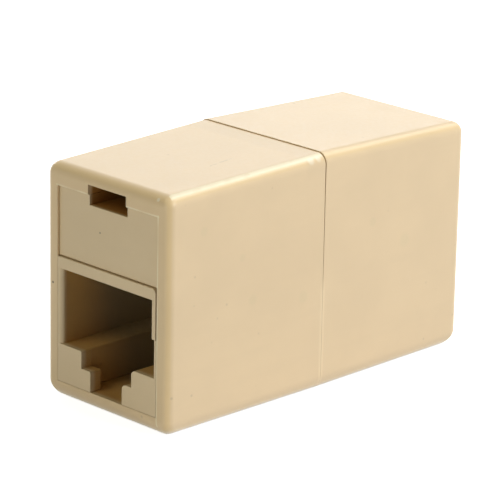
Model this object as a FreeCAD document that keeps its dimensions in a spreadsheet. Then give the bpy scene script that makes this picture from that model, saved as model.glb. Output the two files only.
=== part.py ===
"""Inline coupler that joins two eight-way modular plugs end to end.

Millimetres.  The coupler stands on its flat underside: +Z is up, the sockets
face -Y (front) and +Y (back), and the origin is at the middle of the
underside.  The housing is two moulded halves that meet in the middle of the
length.  Each half holds a jack body, a contact carrier above it and eight
contact springs, and the sixteen tails meet in a small upright circuit board.
The back half's pieces are the front ones turned half a turn about Z, apart
from the lap at the seam.
"""
import FreeCAD, Part
import math
import os
import Sketcher
from types import SimpleNamespace

SIZES = [
    # housing
    ("end_width", 16.1, "width of the housing at its end faces"),
    ("end_height", 22.4, "height of the housing at its end faces"),
    ("side_draft", 0.215, "how far each side leans out on its way to the seam"),
    ("top_draft", 0.45, "how far the top rises on its way to the seam"),
    ("half_length", 19.25, "length of one half, end face to seam"),
    ("floor_thickness", 1.8, "housing floor under the jack"),
    ("roof_thickness", 2.0, "housing roof at the end face"),
    ("chamber_width", 13.1, "width inside the housing"),
    ("upright_round", 0.8, "round of the end face's upright edges"),
    ("top_round", 1.05, "round of the top edges"),
    ("base_round", 1.6, "round of the bottom edges"),
    # seam between the two halves
    ("seam_gap", 0.12, "open line between the halves at the crown"),
    ("seam_closed_gap", 0.02, "line between the halves where they meet"),
    ("seam_closed_height", 9.0, "height below which the halves meet"),
    ("seam_step", 0.08, "how much the back half stands above the front one"),
    ("lap_length", 1.6, "reach of the front half's tongue into the back half"),
    ("lap_thickness", 0.7, "thickness of the tongue"),
    ("lap_clearance", 0.05, "room round the tongue"),
    # release notch in the top of each end face
    ("notch_width", 4.96, "width of the notch"),
    ("notch_rise", 0.95, "height of the notch in the housing roof"),
    ("notch_drop", 0.95, "height of the notch in the contact carrier"),
    ("notch_depth", 6.0, "depth of the notch behind the end face"),
    # jack body
    ("fit_clearance", 0.03, "room between the inserts and the housing"),
    ("frame_relief", 0.16, "gap beside the mouth frame's free leg"),
    ("frame_bottom", 9.05, "height where the free leg of the mouth frame ends"),
    ("frame_top", 13.75, "height of the mouth frame's top edge"),
    ("frame_round", 0.5, "round of the mouth frame's free top corner"),
    ("frame_depth", 1.5, "thickness of the bar over the mouth"),
    ("leg_overhang", 0.05, "how far the free leg stands into the plug space"),
    ("plug_width", 12.0, "width of the plug space"),
    ("plug_floor", 5.45, "height of the shelves that the plug slides on"),
    ("plug_ceiling", 12.68, "height of the top of the plug space"),
    ("plug_depth", 13.0, "depth of the plug space"),
    ("jamb_round", 0.45, "round of the mouth's upright edges"),
    ("latch_width", 6.65, "width of the upper step of the latch way"),
    ("latch_floor", 3.78, "height of the step in the latch way"),
    ("channel_width", 4.2, "width of the lower step of the latch way"),
    ("lip_thickness", 1.25, "thickness of the lips that hold the latch"),
    ("left_lip_round", 0.2, "round of the left lip's inner corners"),
    ("right_lip_round", 0.5, "round of the right lip's inner corners"),
    ("catch_width", 6.75, "width of the latch way behind the lips"),
    ("window_width", 9.2, "width of the opening that the springs pass"),
    ("rear_wall", 1.4, "wall behind the plug space"),
    ("side_wall", 0.9, "walls round the hollow behind the rear wall"),
    # snap lugs that hold the jack in the housing
    ("lug_reach", 0.4, "how far a lug stands out of the jack's side"),
    ("lug_depth", 8.0, "distance from the end face to the lugs"),
    ("lug_length", 2.5, "length of a lug"),
    ("lug_bottom", 7.0, "height of a lug's lower edge"),
    ("lug_height", 4.0, "height of a lug"),
    ("lug_clearance", 0.05, "room round a lug in its pocket"),
    # contact carrier
    ("carrier_gap", 0.1, "gap between the mouth frame and the carrier"),
    ("panel_recess", 0.22, "how far the carrier's front lies back"),
    ("comb_depth", 1.6, "distance from the end face to the grooves"),
    ("groove_width", 0.64, "width of a contact's groove"),
    ("hollow_length", 3.6, "length of the hollow in front of the board"),
    ("hollow_height", 4.1, "height of the hollow in the carrier"),
    # contacts
    ("contact_count", 8, "contacts in each jack"),
    ("contact_pitch", 1.02, "spacing of the contacts"),
    ("contact_width", 0.5, "width of a contact strip"),
    ("contact_thickness", 0.3, "thickness of a contact strip"),
    ("run_height", 14.5, "height of the strips in their grooves"),
    ("bend_depth", 2.6, "distance from the end face to the spring's bend"),
    ("bend_radius", 0.6, "radius of the spring's bend"),
    ("spring_angle", 22.0, "slope of the springs, degrees"),
    ("spring_depth", 10.8, "distance from the end face to a spring's tip"),
    ("row_rise", 2.0, "how far the odd tails stand above the even ones"),
    ("crank_length", 1.5, "length of the sloping part of a cranked tail"),
    ("crank_gap", 0.9, "straight part between the crank and the board"),
    ("tail_length", 0.7, "how far the tails stand out of the board"),
    # circuit board
    ("board_thickness", 1.6, "thickness of the board"),
    ("board_clearance", 0.15, "room round the board's edges"),
    ("hole_diameter", 0.7, "holes for the contacts' tails"),
]

doc = FreeCAD.newDocument("InlineCoupler")
sheet = doc.addObject("Spreadsheet::Sheet", "Sizes")
for row, (alias, number, meaning) in enumerate(SIZES, start=1):
    sheet.set(f"A{row}", alias)
    sheet.set(f"B{row}", str(number))
    sheet.set(f"C{row}", meaning)
    sheet.setAlias(f"B{row}", alias)
doc.recompute()


class Size:
    """A number together with the sheet expression that it comes from."""

    def __init__(self, number, text=None):
        self.number = number
        self.text = text or str(number)

    def __neg__(self):
        return Size(-self.number, f"(-{self.text})")

    def __add__(self, other):
        other = as_size(other)
        return Size(self.number + other.number, f"({self.text} + {other.text})")

    def __sub__(self, other):
        other = as_size(other)
        return Size(self.number - other.number, f"({self.text} - {other.text})")

    def __mul__(self, other):
        other = as_size(other)
        return Size(self.number * other.number, f"({self.text} * {other.text})")

    def __truediv__(self, other):
        other = as_size(other)
        return Size(self.number / other.number, f"({self.text} / {other.text})")


def as_size(item):
    """A plain number as a Size; a Size as it is."""
    return item if isinstance(item, Size) else Size(item)


s = SimpleNamespace(**{
    alias: Size(float(sheet.get(alias)), f"Sizes.{alias}") for alias, _, _ in SIZES})

# Levels, depths and half widths that several pieces share.
FRONT = -s.half_length
CHAMBER_HALF = s.chamber_width / 2
CHAMBER_TOP = s.end_height - s.roof_thickness
JACK_HALF = CHAMBER_HALF - s.fit_clearance
JACK_BASE = s.floor_thickness + s.fit_clearance
LEG_OUTSIDE = CHAMBER_HALF - s.frame_relief
LEG_INSIDE = s.plug_width / 2 - s.leg_overhang
CARRIER_BASE = s.frame_top + s.carrier_gap
CARRIER_TOP = CHAMBER_TOP - s.fit_clearance
JACK_LENGTH = s.half_length - s.board_thickness / 2


# ---------------------------------------------------------------- features
def new_body(name, turned=False):
    """An empty body; a turned one faces the other way."""
    body = doc.addObject("PartDesign::Body", name)
    body.Label = name
    if turned:
        body.Placement = FreeCAD.Placement(FreeCAD.Vector(), FreeCAD.Rotation(180, 0, 0))
    return body


def sketch_on(body, name, role, offset=0):
    """A sketch parallel to one of the body's own origin planes."""
    sketch = body.newObject("Sketcher::SketchObject", name)
    plane = next(item for item in body.Origin.OriginFeatures if item.Role == role)
    sketch.AttachmentSupport = [(plane, "")]
    sketch.MapMode = "FlatFace"
    sketch.setExpression("AttachmentOffset.Base.z", as_size(offset).text)
    return sketch


def facing_sketch(body, name, depth=0):
    """A sketch seen from the front, at some depth behind the end face."""
    return sketch_on(body, name, "XZ_Plane", s.half_length - depth)


def fix(sketch, kind, parts, size):
    """One dimension of a sketch, tied to the sheet."""
    size = as_size(size)
    index = sketch.addConstraint(Sketcher.Constraint(kind, *parts, size.number))
    sketch.setExpression(f"Constraints[{index}]", size.text)


def fix_point(sketch, line, end, across, up):
    """Places one end of a line by its two coordinates."""
    fix(sketch, "DistanceX", (-1, 1, line, end), across)
    fix(sketch, "DistanceY", (-1, 1, line, end), up)


def sketch_point(across, up):
    """Where a pair of sizes lies in a sketch."""
    return FreeCAD.Vector(as_size(across).number, as_size(up).number, 0)


def outline(sketch, corners):
    """A closed polygon; each corner is a pair of sizes."""
    first = sketch.GeometryCount
    count = len(corners)
    points = [sketch_point(across, up) for across, up in corners]
    for index in range(count):
        sketch.addGeometry(Part.LineSegment(points[index], points[(index + 1) % count]))
    for index, (across, up) in enumerate(corners):
        following = first + (index + 1) % count
        sketch.addConstraint(Sketcher.Constraint("Coincident", first + index, 2, following, 1))
        fix_point(sketch, first + index, 1, across, up)


def rectangle(sketch, left, right, bottom, top):
    """An upright rectangle between four levels."""
    outline(sketch, [(left, bottom), (right, bottom), (right, top), (left, top)])


def centred(sketch, half_width, bottom, top):
    """A rectangle that is symmetric about the vertical axis."""
    rectangle(sketch, -half_width, half_width, bottom, top)


def add_feature(body, kind, name, sketch, length, forward, symmetric=False):
    """A pad or pocket of a sketch; forward is along the sketch's own normal."""
    before = body.Shape.Volume if body.Tip else 0.0
    feature = body.newObject(f"PartDesign::{kind}", name)
    feature.Profile = sketch
    feature.setExpression("Length", as_size(length).text)
    feature.Reversed = forward == (kind == "Pocket")
    if symmetric:
        feature.SideType = "Symmetric"
    doc.recompute()
    gained = body.Shape.Volume - before
    if (gained > 0) != (kind == "Pad"):
        raise RuntimeError(f"{body.Label}.{name} changed the volume by {gained:.3f}")
    return feature


def pad(body, name, sketch, length, forward=False, symmetric=False):
    """Adds material; from a facing sketch, backward is into the coupler."""
    return add_feature(body, "Pad", name, sketch, length, forward, symmetric)


def pocket(body, name, sketch, length, forward=False, symmetric=False):
    """Takes material away."""
    return add_feature(body, "Pocket", name, sketch, length, forward, symmetric)


def fillet(body, name, radius, wanted):
    """Rounds the edges of the body's tip whose middle and direction pass the test."""
    base = body.Tip
    names = []
    for number, edge in enumerate(base.Shape.Edges, start=1):
        if len(edge.Vertexes) < 2:
            continue
        middle = edge.valueAt((edge.FirstParameter + edge.LastParameter) / 2)
        along = edge.Vertexes[1].Point - edge.Vertexes[0].Point
        along.normalize()
        if wanted(middle, along):
            names.append(f"Edge{number}")
    feature = body.newObject("PartDesign::Fillet", name)
    feature.Base = (base, names)
    feature.setExpression("Radius", radius.text)
    doc.recompute()


def near(one, other):
    """Whether a coordinate lies at a size, to a hundredth of a millimetre."""
    return abs(one - as_size(other).number) < 0.01


# ----------------------------------------------------------------- housing
def housing_block(body, crown):
    """The outer block of one half, larger at the seam, with its rounded edges."""
    seam = s.seam_gap / 2
    closed = s.seam_closed_gap / 2
    seam_half = s.end_width / 2 + s.side_draft
    outside = seam_half + s.side_draft
    side_view = sketch_on(body, "side_view", "YZ_Plane")
    outline(side_view, [(FRONT, 0), (-closed, 0), (-closed, s.seam_closed_height),
                        (-seam, crown), (FRONT, s.end_height)])
    pad(body, "block", side_view, outside * 2, symmetric=True)

    side_slopes = sketch_on(body, "side_slopes", "XY_Plane")
    for side in (1, -1):
        outline(side_slopes, [
            (s.end_width / 2 * side, FRONT), (seam_half * side, 0),
            (outside * side, 0), (outside * side, FRONT)])
    pocket(body, "side_tapers", side_slopes, crown + s.end_height, forward=True)

    upper = s.end_height.number / 2

    def upright(middle, along):
        return near(middle.y, FRONT) and abs(along.z) > 0.9

    def level(middle, along):
        return abs(along.y) > 0.9 or (near(middle.y, FRONT) and abs(along.z) < 0.1)

    fillet(body, "upright_rounds", s.upright_round, upright)
    fillet(body, "top_rounds", s.top_round,
           lambda middle, along: level(middle, along) and middle.z > upper)
    fillet(body, "base_rounds", s.base_round,
           lambda middle, along: level(middle, along) and middle.z < upper)


def housing_half(name, crown, has_tongue, turned):
    """One half of the housing: block, lap, chamber, notch and lug pockets."""
    body = new_body(name, turned)
    housing_block(body, crown)

    # The lap is a ring round the chamber, about half as thick as the wall.
    ring = s.lap_thickness if has_tongue else s.lap_thickness + s.lap_clearance
    lap_start = s.seam_gap / 2 if has_tongue else 0
    lap_section = sketch_on(body, "lap_section", "XZ_Plane", lap_start)
    centred(lap_section, CHAMBER_HALF + ring, s.floor_thickness - ring, CHAMBER_TOP + ring)
    if has_tongue:
        pad(body, "tongue", lap_section, s.lap_length)
    else:
        pocket(body, "rebate", lap_section, s.lap_length + s.lap_clearance, forward=True)

    chamber = facing_sketch(body, "chamber_section")
    centred(chamber, CHAMBER_HALF, s.floor_thickness, CHAMBER_TOP)
    pocket(body, "chamber", chamber, s.half_length + s.lap_length)

    notch = facing_sketch(body, "notch_section")
    centred(notch, s.notch_width / 2, CHAMBER_TOP, CHAMBER_TOP + s.notch_rise)
    pocket(body, "notch", notch, s.notch_depth)

    lug_front = FRONT + s.lug_depth
    pockets = sketch_on(body, "lug_pocket_section", "YZ_Plane")
    rectangle(pockets, lug_front - s.lug_clearance,
              lug_front + s.lug_length + s.lug_clearance,
              s.lug_bottom - s.lug_clearance, s.lug_bottom + s.lug_height + s.lug_clearance)
    pocket(body, "lug_pockets", pockets,
           (JACK_HALF + s.lug_reach + s.lug_clearance) * 2, symmetric=True)
    return body


# --------------------------------------------------------------- jack body
def jack_body(name, turned):
    """The lower insert: mouth frame, plug space, latch way and snap lugs.

    As seen into the mouth, the frame's right leg stands free of the housing and
    ends above the shelf; its left leg is one with the side wall.
    """
    body = new_body(name, turned)
    front_view = facing_sketch(body, "front_view")
    outline(front_view, [
        (JACK_HALF, JACK_BASE), (JACK_HALF, s.frame_bottom),
        (LEG_OUTSIDE, s.frame_bottom), (LEG_OUTSIDE, s.frame_top),
        (-JACK_HALF, s.frame_top), (-JACK_HALF, JACK_BASE)])
    pad(body, "block", front_view, JACK_LENGTH)
    fillet(body, "frame_round", s.frame_round,
           lambda middle, along: near(middle.x, LEG_OUTSIDE)
           and near(middle.z, s.frame_top) and abs(along.y) > 0.9)

    wall = s.plug_width / 2
    above_shelves = [
        (wall, s.plug_floor), (wall, s.frame_bottom), (LEG_INSIDE, s.frame_bottom),
        (LEG_INSIDE, s.plug_ceiling), (-wall, s.plug_ceiling), (-wall, s.plug_floor)]
    channel = s.channel_width / 2
    step = s.latch_width / 2
    mouth = facing_sketch(body, "mouth_view")
    outline(mouth, above_shelves + [
        (-step, s.plug_floor), (-step, s.latch_floor), (-channel, s.latch_floor),
        (-channel, s.floor_thickness), (channel, s.floor_thickness),
        (channel, s.latch_floor), (step, s.latch_floor), (step, s.plug_floor)])
    pocket(body, "mouth", mouth, s.lip_thickness)

    # Behind the lips the latch way is wide all the way down, so that the latch can catch.
    catch = s.catch_width / 2
    plug_space = facing_sketch(body, "plug_space_view", s.lip_thickness)
    outline(plug_space, above_shelves + [
        (-catch, s.plug_floor), (-catch, s.floor_thickness),
        (catch, s.floor_thickness), (catch, s.plug_floor)])
    pocket(body, "plug_space", plug_space, s.plug_depth - s.lip_thickness)

    window = sketch_on(body, "window_view", "XY_Plane", s.plug_ceiling)
    centred(window, s.window_width / 2, FRONT + s.frame_depth, FRONT + s.plug_depth)
    pocket(body, "spring_window", window, s.frame_top - s.plug_ceiling, forward=True)

    rear = facing_sketch(body, "rear_view", s.plug_depth + s.rear_wall)
    centred(rear, LEG_OUTSIDE - s.side_wall, JACK_BASE + s.side_wall,
            s.frame_top - s.side_wall)
    pocket(body, "rear_hollow", rear, JACK_LENGTH - s.plug_depth - s.rear_wall)

    # Each lug is square at the front and slopes into the side behind.
    lug_view = sketch_on(body, "lug_view", "XY_Plane", s.lug_bottom)
    lug_front = FRONT + s.lug_depth
    root = JACK_HALF - s.lug_reach
    crest = JACK_HALF + s.lug_reach
    for side in (1, -1):
        outline(lug_view, [
            (root * side, lug_front), (crest * side, lug_front),
            (crest * side, lug_front + s.lug_length / 3),
            (root * side, lug_front + s.lug_length)])
    pad(body, "snap_lugs", lug_view, s.lug_height, forward=True)

    round_jamb(body, "left_jamb", -1, s.plug_ceiling)
    round_jamb(body, "right_jamb", 1, s.frame_bottom)
    for side, name, radius in ((-1, "left_lip_rounds", s.left_lip_round),
                               (1, "right_lip_rounds", s.right_lip_round)):
        fillet(body, name, radius,
               lambda middle, along: abs(along.y) > 0.9 and is_lip_corner(middle, side))
    return body


def round_jamb(body, name, side, top):
    """Rounds the mouth's upright edge on one side, from the shelf up to a level."""
    corner = sketch_on(body, f"{name}_view", "XY_Plane", s.plug_floor)
    wall = s.plug_width / 2 * side
    face = (s.plug_width / 2 + s.jamb_round) * side
    depth = FRONT + s.jamb_round
    start, end = (math.pi, 1.5 * math.pi) if side > 0 else (1.5 * math.pi, 2 * math.pi)
    circle = Part.Circle(sketch_point(face, depth), FreeCAD.Vector(0, 0, 1),
                         s.jamb_round.number)
    corner.addGeometry(Part.ArcOfCircle(circle, start, end))
    corner.addGeometry(Part.LineSegment(sketch_point(wall, FRONT), sketch_point(wall, depth)))
    corner.addGeometry(Part.LineSegment(sketch_point(wall, FRONT), sketch_point(face, FRONT)))
    on_wall, on_front = (1, 2) if side > 0 else (2, 1)
    corner.addConstraint(Sketcher.Constraint("Coincident", 1, 2, 0, on_wall))
    corner.addConstraint(Sketcher.Constraint("Coincident", 2, 2, 0, on_front))
    corner.addConstraint(Sketcher.Constraint("Coincident", 1, 1, 2, 1))
    fix_point(corner, 1, 1, wall, FRONT)
    fix_point(corner, 1, 2, wall, depth)
    fix_point(corner, 2, 2, face, FRONT)
    fix(corner, "Radius", (0,), s.jamb_round)
    pocket(body, name, corner, top - s.plug_floor, forward=True)


def is_lip_corner(middle, side):
    """Whether a point lies on one of the inner corners of the lip on one side."""
    across = middle.x * side
    upper = near(across, s.latch_width / 2) and near(middle.z, s.plug_floor)
    lower = near(across, s.channel_width / 2) and near(middle.z, s.latch_floor)
    return upper or lower


# --------------------------------------------------------- contact carrier
def contact_places():
    """Each contact's number and its distance from the middle."""
    count = int(s.contact_count.number)
    for number in range(1, count + 1):
        yield number, s.contact_pitch * (number - (count + 1) / 2)


def contact_carrier(name, turned):
    """The upper insert: front panel, notch, grooves and the hollow behind."""
    body = new_body(name, turned)
    panel = facing_sketch(body, "panel_view", s.panel_recess)
    centred(panel, JACK_HALF, CARRIER_BASE, CARRIER_TOP)
    pad(body, "block", panel, JACK_LENGTH - s.panel_recess)

    notch = facing_sketch(body, "notch_view", s.panel_recess)
    centred(notch, s.notch_width / 2, CARRIER_TOP - s.notch_drop, CARRIER_TOP)
    pocket(body, "notch", notch, s.notch_depth - s.panel_recess)

    groove_top = s.run_height + s.contact_thickness / 2
    grooves = facing_sketch(body, "groove_view", s.comb_depth)
    for _, place in contact_places():
        rectangle(grooves, place - s.groove_width / 2, place + s.groove_width / 2,
                  CARRIER_BASE, groove_top)
    pocket(body, "grooves", grooves, JACK_LENGTH - s.comb_depth)

    hollow = facing_sketch(body, "hollow_view", JACK_LENGTH - s.hollow_length)
    centred(hollow, s.window_width / 2, CARRIER_BASE, CARRIER_BASE + s.hollow_height)
    pocket(body, "tail_hollow", hollow, s.hollow_length)
    return body


# ---------------------------------------------------------------- contacts
def contact(name, place, is_cranked, turned):
    """A strip bent into a spring in front and a tail through the board."""
    body = new_body(name, turned)
    body.setExpression("Placement.Base.x", (place * (-1 if turned else 1)).text)
    board_front = -s.board_thickness / 2
    tip = s.board_thickness / 2 + s.tail_length
    row = s.run_height + s.row_rise if is_cranked else s.run_height
    bend = FRONT + s.bend_depth

    path = sketch_on(body, "path", "YZ_Plane")
    stations = [(tip, row)]
    if is_cranked:
        crank_end = board_front - s.crank_gap
        stations += [(crank_end, row), (crank_end - s.crank_length, s.run_height)]
    stations.append((bend, s.run_height))
    points = [sketch_point(along, up) for along, up in stations]
    for start, end in zip(points, points[1:]):
        path.addGeometry(Part.LineSegment(start, end))
    run = path.GeometryCount - 1
    for line in range(run):
        path.addConstraint(Sketcher.Constraint("Coincident", line, 2, line + 1, 1))
    fix_point(path, 0, 1, *stations[0])
    for line, station in enumerate(stations[1:]):
        fix_point(path, line, 2, *station)

    # The bend turns the strip down and back, then the spring runs straight.
    radius = s.bend_radius.number
    slope = math.radians(s.spring_angle.number)
    centre = points[-1] - FreeCAD.Vector(0, radius, 0)
    circle = Part.Circle(centre, FreeCAD.Vector(0, 0, 1), radius)
    arc = path.addGeometry(Part.ArcOfCircle(circle, math.pi / 2, 1.5 * math.pi - slope))
    leave = centre - FreeCAD.Vector(math.sin(slope), math.cos(slope), 0) * radius
    reach = (FRONT + s.spring_depth).number - leave.x
    free_end = leave + FreeCAD.Vector(1, -math.tan(slope), 0) * reach
    spring = path.addGeometry(Part.LineSegment(leave, free_end))
    path.addConstraint(Sketcher.Constraint("Tangent", run, 2, arc, 1))
    path.addConstraint(Sketcher.Constraint("Tangent", arc, 2, spring, 1))
    fix(path, "Radius", (arc,), s.bend_radius)
    fix(path, "DistanceX", (-1, 1, spring, 2), FRONT + s.spring_depth)
    angle = path.addConstraint(Sketcher.Constraint("Angle", spring, -slope))
    path.setExpression(f"Constraints[{angle}]", f"-{s.spring_angle.text} * 1 deg")

    section = sketch_on(body, "section", "XZ_Plane", -tip)
    centred(section, s.contact_width / 2, row - s.contact_thickness / 2,
            row + s.contact_thickness / 2)
    doc.recompute()
    strip = body.newObject("PartDesign::AdditivePipe", "strip")
    strip.Profile = section
    strip.Spine = (path, [])
    strip.Transition = "Right corner"
    doc.recompute()
    return body


# ----------------------------------------------------------- circuit board
def circuit_board():
    """The upright board; tails of both jacks share its two rows of holes."""
    body = new_body("circuit_board")
    board = sketch_on(body, "board_view", "XZ_Plane", s.board_thickness / 2)
    centred(board, CHAMBER_HALF - s.board_clearance,
            s.floor_thickness + s.board_clearance, CHAMBER_TOP - s.board_clearance)
    pad(body, "board", board, s.board_thickness)

    holes = sketch_on(body, "hole_view", "XZ_Plane", s.board_thickness / 2)
    for _, place in contact_places():
        for level in (s.run_height, s.run_height + s.row_rise):
            circle = Part.Circle(sketch_point(place, level), FreeCAD.Vector(0, 0, 1),
                                 s.hole_diameter.number / 2)
            index = holes.addGeometry(circle)
            fix_point(holes, index, 3, place, level)
            fix(holes, "Diameter", (index,), s.hole_diameter)
    pocket(body, "holes", holes, s.board_thickness)
    return body


def failed(item):
    """Whether the document shows an object as broken."""
    return any(state in item.State for state in ("Invalid", "Error"))


def build():
    """Every piece of the coupler, each in a body of its own."""
    crown = s.end_height + s.top_draft
    pieces = [
        housing_half("front_shell", crown, has_tongue=True, turned=False),
        housing_half("back_shell", crown + s.seam_step, has_tongue=False, turned=True)]
    for end, turned in (("front", False), ("back", True)):
        pieces.append(jack_body(f"{end}_jack_body", turned))
        pieces.append(contact_carrier(f"{end}_contact_carrier", turned))
        for number, place in contact_places():
            pieces.append(contact(f"{end}_contact_{number}", place, number % 2 == 1, turned))
    pieces.append(circuit_board())
    doc.recompute()
    return pieces


def export(pieces):
    """Checks the whole document and writes one STEP file for each piece."""
    broken = [item.Name for item in doc.Objects if failed(item)]
    broken += [piece.Label for piece in pieces
               if piece.Shape.isNull() or not piece.Shape.isValid()]
    if broken:
        raise RuntimeError("not built: " + ", ".join(broken))
    os.makedirs("parts", exist_ok=True)
    for piece in pieces:
        piece.Shape.exportStep(os.path.join("parts", f"{piece.Label}.step"))
        print(f"{piece.Label}: {piece.Shape.Volume:.1f} mm3")


export(build())
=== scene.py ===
import bpy
import math
from mathutils import Matrix, Vector


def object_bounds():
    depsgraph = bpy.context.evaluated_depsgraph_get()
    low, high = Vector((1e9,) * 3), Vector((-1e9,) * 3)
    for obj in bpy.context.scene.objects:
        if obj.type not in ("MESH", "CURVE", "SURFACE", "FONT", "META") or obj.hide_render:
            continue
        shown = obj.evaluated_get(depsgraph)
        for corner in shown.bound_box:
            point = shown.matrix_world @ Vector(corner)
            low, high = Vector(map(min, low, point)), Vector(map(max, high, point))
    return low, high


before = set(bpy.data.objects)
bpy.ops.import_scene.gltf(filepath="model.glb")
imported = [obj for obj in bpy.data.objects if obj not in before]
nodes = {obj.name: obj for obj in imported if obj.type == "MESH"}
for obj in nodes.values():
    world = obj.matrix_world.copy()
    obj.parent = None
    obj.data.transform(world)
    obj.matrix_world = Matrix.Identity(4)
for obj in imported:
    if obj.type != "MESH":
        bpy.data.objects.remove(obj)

cad_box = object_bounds()
MM = 0.001


# ---------------------------------------------------------------- node helpers
class Graph:
    """Short ways to add and join shader nodes."""

    def __init__(self, name):
        self.material = bpy.data.materials.new(name)
        self.material.use_nodes = True
        self.tree = self.material.node_tree
        self.tree.nodes.clear()
        self.output = self.tree.nodes.new("ShaderNodeOutputMaterial")

    def add(self, kind, settings=None, **inputs):
        node = self.tree.nodes.new(kind)
        for key, setting in (settings or {}).items():
            setattr(node, key, setting)
        for key, item in inputs.items():
            self.feed(node, key.replace("_", " "), item)
        return node

    def feed(self, node, socket, item):
        """Link an output or set a plain value. Digits choose the socket by its number."""
        target = node.inputs[int(socket) if socket.isdigit() else socket]
        if isinstance(item, bpy.types.NodeSocket):
            self.tree.links.new(item, target)
        else:
            target.default_value = item

    def math(self, operation, one, two=0.0):
        node = self.add("ShaderNodeMath", {"operation": operation})
        self.feed(node, "0", one)
        self.feed(node, "1", two)
        return node.outputs[0]

    def mix(self, amount, one, two, blend="MIX"):
        node = self.add("ShaderNodeMix", {"data_type": "RGBA", "blend_type": blend})
        self.feed(node, "0", amount)
        self.feed(node, "6", one)
        self.feed(node, "7", two)
        return node.outputs[2]

    def noise(self, where, scale, detail=2.0, roughness=0.5):
        node = self.add("ShaderNodeTexNoise", Vector=where, Scale=scale,
                        Detail=detail, Roughness=roughness)
        return node.outputs["Fac"]

    def ramp(self, item, low, high, to_low=0.0, to_high=1.0):
        """A smooth step from one value to another."""
        node = self.add("ShaderNodeMapRange", {"interpolation_type": "SMOOTHSTEP"})
        for socket, value in zip(("Value", "From Min", "From Max", "To Min", "To Max"),
                                 (item, low, high, to_low, to_high)):
            self.feed(node, socket, value)
        return node.outputs["Result"]

    def size_of(self, item):
        """A value without its sign."""
        return self.math("ABSOLUTE", item)

    def near(self, item, middle, solid, faded):
        """1 within `solid` of a middle value, and 0 beyond `faded`."""
        offset = self.math("SUBTRACT", item, middle) if middle else item
        return self.ramp(self.size_of(offset), solid, faded, 1.0, 0.0)

    def place(self, scale=(1, 1, 1)):
        """Position in the object's own frame, stretched."""
        coords = self.add("ShaderNodeTexCoord")
        mapping = self.add("ShaderNodeMapping", Vector=coords.outputs["Object"], Scale=scale)
        return mapping.outputs["Vector"]

    def split(self, vector):
        """The three parts of a vector."""
        return self.add("ShaderNodeSeparateXYZ", Vector=vector).outputs

    def facing(self):
        """The three parts of the surface's own direction."""
        return self.split(self.add("ShaderNodeNewGeometry").outputs["Normal"])

    def product(self, *factors):
        """Several masks multiplied together."""
        result = factors[0]
        for factor in factors[1:]:
            result = self.math("MULTIPLY", result, factor)
        return result

    def dot(self, where, centre, radius):
        """A soft round spot, given in millimetres."""
        node = self.add("ShaderNodeVectorMath", {"operation": "DISTANCE"})
        self.feed(node, "0", where)
        self.feed(node, "1", tuple(part * MM for part in centre))
        return self.ramp(node.outputs["Value"], radius * 0.4 * MM, radius * MM, 1.0, 0.0)

    def finish(self, shader):
        self.tree.links.new(shader.outputs[0], self.output.inputs["Surface"])
        return self.material


def srgb(red, green, blue):
    """An 8-bit display colour as linear light."""
    def linear(part):
        part /= 255
        return part / 12.92 if part <= 0.04045 else ((part + 0.055) / 1.055) ** 2.4
    return (linear(red), linear(green), linear(blue), 1.0)


def shade(colour, factor):
    """A colour made lighter or darker."""
    return tuple(min(1.0, part * factor) for part in colour[:3]) + (1.0,)


def tint(g, amount, colour, factors):
    """The colour multiplied by three factors where a mask is 1."""
    return g.mix(amount, colour, factors + (1.0,), "MULTIPLY")


# ------------------------------------------------------- places on the coupler
# The materials refer to these. Distances along the length count from the seam.
SOCKET_HALF_WIDTH = 7.2 * MM
SOCKET_BOTTOM, SOCKET_TOP = 1.2 * MM, 21.6 * MM
NOTCH_BOTTOM = 18.9 * MM
MOUTH_START, MOUTH_END = 18.5 * MM, 19.05 * MM
DEEP_START, DEEP_END = 12.0 * MM, 18.0 * MM
END_FACES = 19.1 * MM
OPENING_HALF_WIDTH, OPENING_TOP = 6.62 * MM, 20.47 * MM
SEAM_CLOSED_BELOW, SEAM_OPEN_ABOVE = 9.6 * MM, 11.2 * MM
EDGE_ROUND = 0.10 * MM


# ----------------------------------------------------------- marks and shading
# Each mark takes a graph, the position and the colour so far, and gives the new colour.
def painted_socket_shade(g, where, colour):
    """Painted shade: a darker, warmer colour deep in the sockets, and darker still in the
    notches.
    """
    x, y, z = g.split(where)
    within = g.product(g.math("LESS_THAN", g.size_of(x), SOCKET_HALF_WIDTH),
                       g.math("GREATER_THAN", z, SOCKET_BOTTOM),
                       g.math("LESS_THAN", z, SOCKET_TOP))
    from_seam = g.size_of(y)
    mouth = g.product(within, g.ramp(from_seam, MOUTH_START, MOUTH_END, 1.0, 0.0))
    deep = g.product(within, g.ramp(from_seam, DEEP_START, DEEP_END, 1.0, 0.0))
    notch = g.product(mouth, g.math("GREATER_THAN", z, NOTCH_BOTTOM))
    colour = tint(g, mouth, colour, (0.79, 0.61, 0.34))
    colour = tint(g, deep, colour, (0.47, 0.60, 1.0))
    return tint(g, notch, colour, (0.67, 0.53, 0.33))


def rounds_painted_shade(g, where, colour):
    """Painted shade: a slightly yellower, darker colour on the rounded edges, where they
    reflect less light.
    """
    right, back, up = [g.size_of(part) for part in g.facing()]
    flatness = g.math("MAXIMUM", right, g.math("MAXIMUM", back, up))
    return tint(g, g.ramp(flatness, 0.80, 0.97, 1.0, 0.0), colour, (1.0, 0.98, 0.88))


def base_painted_glow(g, where, colour):
    """Painted light: a paler colour on the lower edges near the table, as glow from the white
    floor.
    """
    low = g.ramp(g.split(where)[2], 0.10 * MM, 0.95 * MM, 1.0, 0.0)
    return g.mix(g.math("MULTIPLY", low, 0.75), colour, (1.0, 0.96, 0.88, 1.0))


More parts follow.
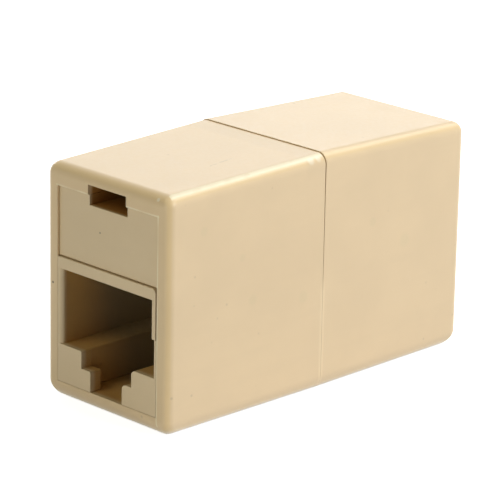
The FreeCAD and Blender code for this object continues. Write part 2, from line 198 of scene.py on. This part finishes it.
def ridge_painted_highlight(g, where, colour):
    """A painted highlight, broken up, along the upper edge on one side of the front half."""
    y, z = g.split(where)[1:3]
    right, back = g.facing()[:2]
    turn = g.near(right, 0.40, 0.10, 0.34)
    level = g.math("LESS_THAN", g.size_of(back), 0.35)
    high = g.math("GREATER_THAN", z, 21.0 * MM)
    front = g.math("LESS_THAN", y, -0.1 * MM)
    highlight_breakup = g.ramp(g.noise(where, 700.0), 0.2, 0.5, 0.6, 1.0)
    return g.mix(g.product(turn, level, high, front, highlight_breakup), colour, (1.0, 0.90, 0.66, 1.0))


def opening_edge_highlight(g, where, colour):
    """A painted highlight line on the end faces along the top and one side of the opening."""
    x, y, z = g.split(where)
    end = g.math("GREATER_THAN", g.size_of(y), END_FACES)
    own_right = g.math("MULTIPLY", x, g.math("SIGN", g.math("MULTIPLY", y, -1.0)))
    beside = g.near(own_right, OPENING_HALF_WIDTH, 0.04 * MM, 0.11 * MM)
    above = g.near(z, OPENING_TOP, 0.04 * MM, 0.11 * MM)
    within = g.product(
        g.math("LESS_THAN", g.size_of(x), OPENING_HALF_WIDTH + 0.13 * MM),
        g.math("LESS_THAN", z, OPENING_TOP + 0.13 * MM))
    line = g.product(g.math("MAXIMUM", beside, above), within, end)
    broken = g.ramp(g.noise(where, 420.0, 1.0), 0.3, 0.6, 0.35, 1.0)
    return g.mix(g.product(line, broken, 0.8), colour, (1.0, 0.90, 0.68, 1.0))


def seam_highlight_line(g, where, colour):
    """A pale painted highlight line where the two halves meet, below the open part of the
    seam.
    """
    y, z = g.split(where)[1:3]
    close = g.near(y, 0.0, 0.10 * MM, 0.38 * MM)
    low = g.ramp(z, SEAM_CLOSED_BELOW, SEAM_OPEN_ABOVE, 1.0, 0.0)
    return g.mix(g.product(close, low, 0.8), colour, (0.94, 0.75, 0.49, 1.0))


def scuff(g, where, colour):
    """A thin broken rub mark on the top of the front half."""
    x, y, z = g.split(where)
    wobble = g.math("MULTIPLY", g.noise(where, 1400.0), 0.5 * MM)
    line = g.math("ADD", g.math("ADD", x, g.math("MULTIPLY", y, 0.128)), wobble)
    across = g.near(line, 2.5 * MM, 0.05 * MM, 0.16 * MM)
    along = g.near(y, -8.9 * MM, 1.2 * MM, 2.2 * MM)
    broken = g.ramp(g.noise(where, 2300.0, 1.0), 0.4, 0.55)
    high = g.math("GREATER_THAN", z, 20.0 * MM)
    amount = g.math("MULTIPLY", g.product(across, along, broken, high), 0.28)
    return g.mix(amount, colour, (0.45, 0.36, 0.24, 1.0))


def seam_shade_band(g, where, colour):
    """Painted shade: a slightly darker stretch of the front half's top before the seam."""
    y, z = g.split(where)[1:3]
    edge = g.math("ADD", y, g.math("MULTIPLY", g.noise(where, 500.0, 1.0), 0.6 * MM))
    near_seam = g.ramp(edge, -2.6 * MM, -1.6 * MM)
    front = g.math("LESS_THAN", y, 0.0)
    high = g.ramp(z, 20.5 * MM, 22.0 * MM)
    amount = g.math("MULTIPLY", g.product(near_seam, front, high), 0.10)
    return g.mix(amount, colour, (0.50, 0.40, 0.27, 1.0))


def spot(colour_there, centre, radius, amount):
    """A mark that mixes a colour in at one place, in millimetres."""
    def draw(g, where, colour):
        strength = g.math("MULTIPLY", g.dot(where, centre, radius), amount)
        return g.mix(strength, colour, colour_there + (1.0,))
    return draw


def dirt_speck(centre, radius, amount):
    return spot((0.10, 0.07, 0.04), centre, radius, amount)


# A painted highlight: a small light spot where an edge or corner catches light.
def painted_highlight_spot(centre, radius, amount):
    return spot((1.0, 0.94, 0.80), centre, radius, amount)


def smudge(centre, radius):
    """A faint dull patch at one place, in millimetres."""
    def draw(g, where, colour):
        return tint(g, g.dot(where, centre, radius), colour, (0.970, 0.985, 0.977))
    return draw


# ------------------------------------------------------------------- materials
def moulded_plastic(name, base, rough, marks):
    """Satin moulded plastic: soft colour drift, fine grain, small pits, softened edges."""
    g = Graph(name)
    where = g.place()
    cloud = g.noise(where, 120.0, 3.0)
    colour = g.mix(g.ramp(cloud, 0.3, 0.7), shade(base, 0.975), shade(base, 1.015))
    streak = g.noise(g.place((0.5, 0.12, 1.0)), 900.0)
    colour = g.mix(g.ramp(streak, 0.45, 0.75, 0.0, 0.2), colour, shade(base, 0.95))

    cells = g.add("ShaderNodeTexVoronoi", Vector=where, Scale=620.0)
    chosen = g.math("GREATER_THAN", g.split(cells.outputs["Color"])[0], 0.88)
    pits = g.product(g.ramp(cells.outputs["Distance"], 0.03, 0.13, 1.0, 0.0), chosen)
    colour = g.mix(g.math("MULTIPLY", pits, 0.35), colour, shade(base, 0.55))
    for mark in marks:
        colour = mark(g, where, colour)
    # painted shade inside the sockets and notches
    colour = painted_socket_shade(g, where, colour)

    grain = g.noise(where, 2600.0, 3.0, 0.6)
    rough_map = g.ramp(grain, 0.3, 0.7, rough - 0.05, rough + 0.06)
    rounded = g.add("ShaderNodeBevel", {"samples": 6}, Radius=EDGE_ROUND)
    wave = g.noise(where, 260.0, 1.0)
    relief = g.math("SUBTRACT", g.math("ADD", g.math("MULTIPLY", grain, 0.12), wave),
                    g.math("MULTIPLY", pits, 2.0))
    bump = g.add("ShaderNodeBump", Strength=0.12, Distance=0.06 * MM, Height=relief,
                 Normal=rounded.outputs[0])
    shader = g.add("ShaderNodeBsdfPrincipled", Base_Color=colour, Roughness=rough_map,
                   Normal=bump.outputs[0])
    shader.inputs["IOR"].default_value = 1.5
    return g.finish(shader)


def gilt():
    """Drawn, gold-plated contact strip."""
    g = Graph("contact_gilt")
    streak = g.noise(g.place((1, 0.08, 1)), 3000.0)
    colour = g.mix(streak, srgb(214, 176, 96), srgb(232, 200, 124))
    shader = g.add("ShaderNodeBsdfPrincipled", Base_Color=colour,
                   Roughness=g.ramp(streak, 0.3, 0.7, 0.22, 0.32))
    shader.inputs["Metallic"].default_value = 1.0
    return g.finish(shader)


def laminate():
    """Green circuit board with a faint weave."""
    g = Graph("board_laminate")
    weave = g.noise(g.place((1, 1, 0.3)), 2200.0)
    colour = g.mix(weave, srgb(34, 84, 50), srgb(46, 104, 62))
    shader = g.add("ShaderNodeBsdfPrincipled", Base_Color=colour,
                   Roughness=g.ramp(weave, 0.3, 0.7, 0.3, 0.42))
    return g.finish(shader)


# Every place below is in millimetres, in the CAD frame.
housing_plastic = moulded_plastic("housing_plastic", srgb(236, 211, 172), 0.36, (
    scuff, seam_shade_band, rounds_painted_shade, base_painted_glow, ridge_painted_highlight, opening_edge_highlight, seam_highlight_line,
    dirt_speck((-7.18, -19.25, 11.09), 0.16, 0.8),
    smudge((8.2, -8.97, 10.95), 0.7),
    smudge((8.2, -2.51, 9.79), 0.8),
    smudge((8.2, -15.09, 18.61), 0.6),
    smudge((8.2, -10.34, 15.20), 0.5),
    smudge((8.2, 11.12, 12.37), 0.9),
    smudge((8.2, 6.59, 15.07), 0.6),
    # painted highlights: a light blob on the upper edge near the seam, and a glint at the
    # opening's upper corner
    painted_highlight_spot((7.95, -1.70, 22.45), 0.50, 0.45),
    painted_highlight_spot((7.95, -0.75, 22.45), 0.40, 0.40),
    painted_highlight_spot((6.46, -19.10, 21.96), 0.25, 0.6)))
insert_plastic = moulded_plastic("insert_plastic", srgb(229, 208, 174), 0.40, (
    dirt_speck((-1.11, -19.03, 17.14), 0.13, 0.6),
    # painted highlight at a corner inside the socket's opening
    painted_highlight_spot((-2.15, -19.20, 5.98), 0.20, 0.5)))
contact_metal = gilt()
board_plastic = laminate()


def material_for(name):
    if "shell" in name:
        return housing_plastic
    if "jack_body" in name or "carrier" in name:
        return insert_plastic
    if "contact" in name:
        return contact_metal
    return board_plastic


for name, thing in nodes.items():
    for slot in thing.material_slots:
        slot.material = material_for(name)


# ----------------------------------------------------------------------- stage
FLOOR_HALF, FLOOR_DROP = 0.6, 0.00002
FLOOR_GLOW = 0.85
WORLD_SOFT = 0.02
WORLD_WHITE = 1.0


def sheet(name, half, level):
    mesh = bpy.data.meshes.new(name)
    corners = [(-half, -half, level), (half, -half, level),
               (half, half, level), (-half, half, level)]
    mesh.from_pydata(corners, [], [(0, 1, 2, 3)])
    thing = bpy.data.objects.new(name, mesh)
    bpy.context.scene.collection.objects.link(thing)
    return thing


def meets_white(tree):
    """1 for rays that see the plain white studio: the camera's and reflected ones."""
    rays = tree.nodes.new("ShaderNodeLightPath").outputs
    total = rays["Is Camera Ray"]
    for kind in ("Is Glossy Ray", "Is Transmission Ray"):
        either = tree.nodes.new("ShaderNodeMath")
        either.operation = "MAXIMUM"
        tree.links.new(total, either.inputs[0])
        tree.links.new(rays[kind], either.inputs[1])
        total = either.outputs[0]
    return total


def floor_material():
    """Grey paper that stays white to the camera and in reflections, but for its shadow."""
    g = Graph("floor_paper")
    patches = g.noise(g.place(), 30.0)
    colour = g.mix(patches, (0.62, 0.62, 0.62, 1.0), (0.66, 0.66, 0.66, 1.0))
    paper = g.add("ShaderNodeBsdfDiffuse", Color=colour)
    level = g.math("MULTIPLY", meets_white(g.tree), FLOOR_GLOW)
    glow = g.add("ShaderNodeEmission", Color=(1.0, 1.0, 1.0, 1.0), Strength=level)
    both = g.add("ShaderNodeAddShader")
    g.tree.links.new(paper.outputs[0], both.inputs[0])
    g.tree.links.new(glow.outputs[0], both.inputs[1])
    return g.finish(both)


def studio_world():
    """White to the camera and in reflections, and almost dark as a light."""
    world = bpy.data.worlds.new("studio")
    world.use_nodes = True
    tree = world.node_tree
    tree.nodes.clear()
    pick = tree.nodes.new("ShaderNodeMixShader")
    out = tree.nodes.new("ShaderNodeOutputWorld")
    tree.links.new(meets_white(tree), pick.inputs[0])
    for socket, strength in ((1, WORLD_SOFT), (2, WORLD_WHITE)):
        background = tree.nodes.new("ShaderNodeBackground")
        background.inputs["Color"].default_value = (1.0, 1.0, 1.0, 1.0)
        background.inputs["Strength"].default_value = strength
        tree.links.new(background.outputs[0], pick.inputs[socket])
    tree.links.new(pick.outputs[0], out.inputs["Surface"])
    return world


floor = sheet("floor", FLOOR_HALF, cad_box[0][2] - FLOOR_DROP)
floor.data.materials.append(floor_material())
bpy.context.scene.world = studio_world()


# ----------------------------------------------------------------------- lamps
LAMP_DISTANCE, LAMP_SIDE = 0.50, 0.2
OBJECT_MIDDLE = Vector((0, 0, 11 * MM))


def softbox(name, azimuth, elevation, watts, colour=(1, 1, 1)):
    """A square area lamp that looks at the coupler; azimuth 0 is straight in front."""
    lamp = bpy.data.lights.new(name, "AREA")
    lamp.shape = "RECTANGLE"
    lamp.size = lamp.size_y = LAMP_SIDE
    lamp.energy = watts
    lamp.color = colour
    thing = bpy.data.objects.new(name, lamp)
    a, e = math.radians(azimuth), math.radians(elevation)
    away = Vector((math.sin(a) * math.cos(e), -math.cos(a) * math.cos(e), math.sin(e)))
    thing.location = OBJECT_MIDDLE + away * LAMP_DISTANCE
    thing.rotation_euler = (-away).to_track_quat("-Z", "Y").to_euler()
    bpy.context.scene.collection.objects.link(thing)


softbox("right", 100, 28, 1.17)
softbox("top_right", 145, 55, 1.06, (1.0, 1.0, 0.97))
softbox("top_back", 180, 40, 0.46)
softbox("front", 0, 10, 0.49, (1.0, 0.95, 0.72))
softbox("front_high", -27, 50, 0.27, (1.0, 0.95, 0.68))
softbox("backdrop", -135, 18, 0.16)
softbox("left", -105, 10, 0.60)


# ---------------------------------------------------------------------- camera
SENSOR_WIDTH = 36.0


def camera(azimuth, elevation, roll, distance, target, focal_shares):
    """A camera aimed at a target, with its focal length as a share of the picture's width."""
    data = bpy.data.cameras.new("camera")
    data.sensor_width = SENSOR_WIDTH
    data.lens = focal_shares * SENSOR_WIDTH
    data.clip_start = 0.01
    data.clip_end = 10.0
    thing = bpy.data.objects.new("camera", data)
    back = Vector((math.sin(azimuth) * math.cos(elevation),
                   -math.cos(azimuth) * math.cos(elevation), math.sin(elevation)))
    right = Vector((math.cos(azimuth), math.sin(azimuth), 0))
    up = back.cross(right)
    tilted = right * math.cos(roll) + up * math.sin(roll)
    upper = up * math.cos(roll) - right * math.sin(roll)
    place = Vector(target) + back * distance
    rows = Matrix((tilted, upper, back)).transposed()
    thing.matrix_world = Matrix.Translation(place) @ rows.to_4x4()
    bpy.context.scene.collection.objects.link(thing)
    bpy.context.scene.camera = thing


camera(azimuth=0.78316, elevation=0.31012, roll=0.01967, distance=283.15 * MM,
       target=(-1.2336 * MM, 0, 11.4773 * MM), focal_shares=6.051)

bpy.context.scene.view_settings.view_transform = "Standard"
